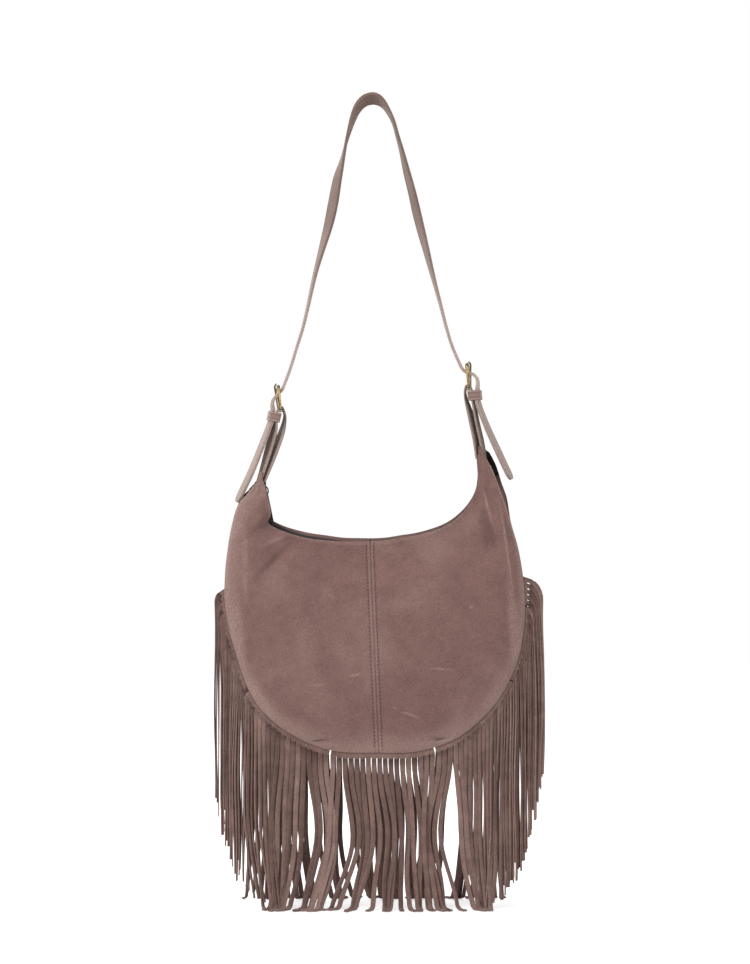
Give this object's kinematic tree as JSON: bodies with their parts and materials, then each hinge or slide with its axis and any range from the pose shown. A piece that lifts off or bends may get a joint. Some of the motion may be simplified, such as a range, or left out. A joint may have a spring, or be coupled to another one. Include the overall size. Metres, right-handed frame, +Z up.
{
  "type": "fringed shoulder bag",
  "caption": "Slouchy suede shoulder bag with a zipped mouth, fringe hanging from both body seams and a long buckled strap, shown hanging by the strap.",
  "frame": {"origin": "middle of the strap's underside at its highest point, where the bag hangs", "axes": "+Z up, -Y out of the front of the bag, +X to the right seen from the front"},
  "size_m": [0.3814, 0.1057, 0.9572],
  "materials": {
    "body_suede": "taupe suede with a short nap",
    "strap_suede": "lighter taupe suede with pale cut edges",
    "fringe_suede": "dark brown suede, cut strands",
    "lining": "black woven lining",
    "zip_tape": "black woven tape",
    "zip_coil": "black nylon",
    "dark_metal": "dark plated metal",
    "antique_brass": "antique brass"
  },
  "bodies": {
    "bag": {"back_panel_left": "body_suede", "back_panel_right": "body_suede", "fringe_back_centre": "fringe_suede", "fringe_back_lower_left": "fringe_suede", "fringe_back_lower_right": "fringe_suede", "fringe_back_outer_left": "fringe_suede", "fringe_back_outer_right": "fringe_suede", "fringe_front_centre": "fringe_suede", "fringe_front_lower_left": "fringe_suede", "fringe_front_lower_right": "fringe_suede", "fringe_front_outer_left": "fringe_suede", "fringe_front_outer_right": "fringe_suede", "front_panel_left": "body_suede", "front_panel_right": "body_suede", "gusset": "body_suede", "left_chape": "strap_suede", "lining": "lining", "right_chape": "strap_suede", "shoulder_strap": "strap_suede", "zip_coil_back": "zip_coil", "zip_coil_front": "zip_coil", "zip_stop_left": "dark_metal", "zip_stop_right": "dark_metal", "zip_tape_back": "zip_tape", "zip_tape_front": "zip_tape"},
    "zip_slider": {"zip_slider": "dark_metal"},
    "zip_pull": {"zip_pull": "dark_metal"},
    "left_buckle_frame": {"left_buckle_frame": "antique_brass"},
    "left_buckle_prong": {"left_buckle_prong": "antique_brass"},
    "right_buckle_frame": {"right_buckle_frame": "antique_brass"},
    "right_buckle_prong": {"right_buckle_prong": "antique_brass"},
    "left_keeper": {"left_keeper": "strap_suede"},
    "right_keeper": {"right_keeper": "strap_suede"}
  },
  "joints": [
    {"name": "zip_slide", "type": "hinge", "parent": "bag", "child": "zip_slider", "pos_m": [-0.0018, 0, -0.239], "axis": [0, -1, 0], "range_deg": [0, 39.4]},
    {"name": "zip_pull_hinge", "type": "hinge", "parent": "zip_slider", "child": "zip_pull", "pos_m": [-0.11708, 0, -0.50098], "axis": [0, 1, 0], "range_deg": [0, 96]},
    {"name": "left_buckle_hinge", "type": "hinge", "parent": "bag", "child": "left_buckle_frame", "pos_m": [-0.10745, 0, -0.3654], "axis": [0.0693, -0.9976, 0.0079], "range_deg": [-2, 3]},
    {"name": "left_prong_hinge", "type": "hinge", "parent": "left_buckle_frame", "child": "left_buckle_prong", "pos_m": [-0.10745, 0, -0.3654], "axis": [0.0693, -0.9976, 0.0079], "range_deg": [0, 4]},
    {"name": "right_buckle_hinge", "type": "hinge", "parent": "bag", "child": "right_buckle_frame", "pos_m": [0.11415, 0, -0.3396], "axis": [0.0697, 0.9976, 0.0028], "range_deg": [-2, 3]},
    {"name": "right_prong_hinge", "type": "hinge", "parent": "right_buckle_frame", "child": "right_buckle_prong", "pos_m": [0.11415, 0, -0.3396], "axis": [0.0697, 0.9976, 0.0028], "range_deg": [0, 4]},
    {"name": "left_keeper_slide", "type": "slide", "parent": "bag", "child": "left_keeper", "axis": [0.2338, 0, 0.9723], "range_m": [-0.001, 0]},
    {"name": "right_keeper_slide", "type": "slide", "parent": "bag", "child": "right_keeper", "axis": [-0.0919, 0, 0.9958], "range_m": [-0.001, 0]}
  ]
}
